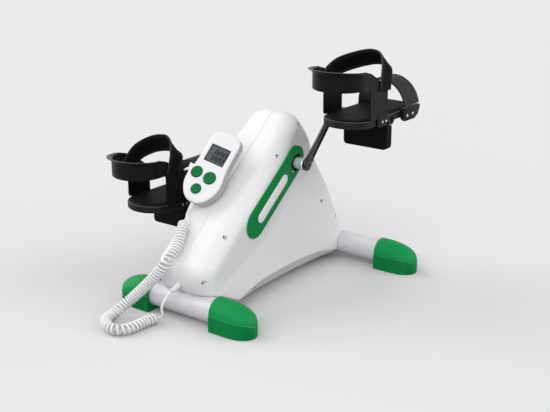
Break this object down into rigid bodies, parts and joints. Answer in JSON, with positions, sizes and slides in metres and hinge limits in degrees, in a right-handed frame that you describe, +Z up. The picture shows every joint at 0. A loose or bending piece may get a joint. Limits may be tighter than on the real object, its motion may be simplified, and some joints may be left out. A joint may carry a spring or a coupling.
{
  "type": "chair pedal exerciser",
  "caption": "Motor-driven mini pedal bike for use from a chair: cranked pedals with heel cups and straps on a housing over two cross tubes, with a wired handset.",
  "frame": {"origin": "on the floor, at the middle of the object's box without its handset cord", "axes": "+Z up, +Y the way the sitter faces, from the near tube to the far tube, +X to the sitter's right along the crank axle"},
  "size_m": [0.471, 0.6406, 0.4864],
  "materials": {
    "housing_plastic": "glossy white moulding",
    "green_plastic": "satin emerald green moulding",
    "grey_plastic": "satin grey moulding",
    "black_plastic": "textured black moulding",
    "white_label": "bare white inlay",
    "tube_paint": "white powder coat",
    "frame_paint": "black powder coat",
    "crank_steel": "satin black",
    "bright_steel": "polished",
    "webbing": "woven nylon",
    "belt_rubber": "matt",
    "board": "green circuit board",
    "display": "grey display window",
    "cord_white": "white cord sheath"
  },
  "bodies": {
    "base": {"main_frame": "frame_paint", "near_cross_tube": "tube_paint", "far_cross_tube": "tube_paint", "near_right_cap": "green_plastic", "near_left_cap": "green_plastic", "far_right_cap": "green_plastic", "far_left_cap": "green_plastic", "housing_right": "housing_plastic", "housing_left": "housing_plastic", "side_panel_right": "green_plastic", "side_panel_left": "green_plastic", "panel_inlay_right": "white_label", "panel_inlay_left": "white_label", "bearing_right": "bright_steel", "bearing_left": "bright_steel", "motor": "frame_paint", "motor_bracket": "frame_paint", "drive_belt": "belt_rubber", "control_board": "board", "power_inlet": "black_plastic", "power_switch": "black_plastic", "handset_cradle": "grey_plastic", "cord_socket": "black_plastic", "cord_plug": "grey_plastic", "handset_lead": "cord_white", "curly_cord": "cord_white", "cord_tail": "cord_white"},
    "crank": {"crank_axle": "bright_steel", "axle_sleeve_right": "bright_steel", "axle_sleeve_left": "bright_steel", "crank_arm_right": "crank_steel", "crank_arm_left": "crank_steel", "crank_bolt_right": "crank_steel", "crank_bolt_left": "crank_steel", "crank_pulley": "black_plastic", "pedal_spindle_right": "bright_steel", "pedal_spindle_left": "bright_steel"},
    "motor_rotor": {"motor_shaft": "bright_steel", "motor_pulley": "frame_paint"},
    "pedal_right": {"foot_plate_right": "black_plastic", "heel_cup_right": "black_plastic", "ankle_strap_right": "webbing", "toe_strap_right": "webbing", "strap_buckle_right": "black_plastic", "counterweight_right": "crank_steel"},
    "pedal_left": {"foot_plate_left": "black_plastic", "heel_cup_left": "black_plastic", "ankle_strap_left": "webbing", "toe_strap_left": "webbing", "strap_buckle_left": "black_plastic", "counterweight_left": "crank_steel"},
    "handset": {"handset_front": "housing_plastic", "handset_back": "grey_plastic", "handset_lens": "display", "handset_board": "board", "handset_strain_relief": "grey_plastic"},
    "left_button": {"button_left": "green_plastic"},
    "right_button": {"button_right": "green_plastic"},
    "low_button": {"button_low": "green_plastic"},
    "rocker": {"switch_rocker": "black_plastic"}
  },
  "joints": [
    {"name": "crank_spin", "type": "hinge", "parent": "base", "child": "crank", "pos_m": [0, 0.03515, 0.2577], "axis": [1, 0, 0], "continuous": true},
    {"name": "motor_spin", "type": "hinge", "parent": "base", "child": "motor_rotor", "pos_m": [0, -0.07385, 0.11], "axis": [1, 0, 0], "continuous": true},
    {"name": "pedal_right_spin", "type": "hinge", "parent": "crank", "child": "pedal_right", "pos_m": [0.175, 0.12778, 0.35033], "axis": [1, 0, 0], "continuous": true},
    {"name": "pedal_left_spin", "type": "hinge", "parent": "crank", "child": "pedal_left", "pos_m": [-0.175, -0.05748, 0.16507], "axis": [1, 0, 0], "continuous": true},
    {"name": "handset_lift", "type": "slide", "parent": "base", "child": "handset", "axis": [0.1137, 0.649, 0.7522], "range_m": [0, 0.06]},
    {"name": "left_button_press", "type": "slide", "parent": "handset", "child": "left_button", "axis": [-0.2457, 0.752, -0.6117], "range_m": [0, 0.0015], "stiffness_N_per_m": 400},
    {"name": "right_button_press", "type": "slide", "parent": "handset", "child": "right_button", "axis": [-0.2457, 0.752, -0.6117], "range_m": [0, 0.0015], "stiffness_N_per_m": 400},
    {"name": "low_button_press", "type": "slide", "parent": "handset", "child": "low_button", "axis": [-0.2457, 0.752, -0.6117], "range_m": [0, 0.0015], "stiffness_N_per_m": 400},
    {"name": "rocker_tilt", "type": "hinge", "parent": "base", "child": "rocker", "pos_m": [-0.019, 0.19825, 0.13256], "axis": [1, 0, 0], "range_deg": [-7, 7]}
  ],
  "couplings": [
    {"joint": "motor_spin", "follows": "crank_spin", "ratio": 5.7778},
    {"joint": "pedal_right_spin", "follows": "crank_spin", "ratio": -1},
    {"joint": "pedal_left_spin", "follows": "crank_spin", "ratio": -1}
  ]
}
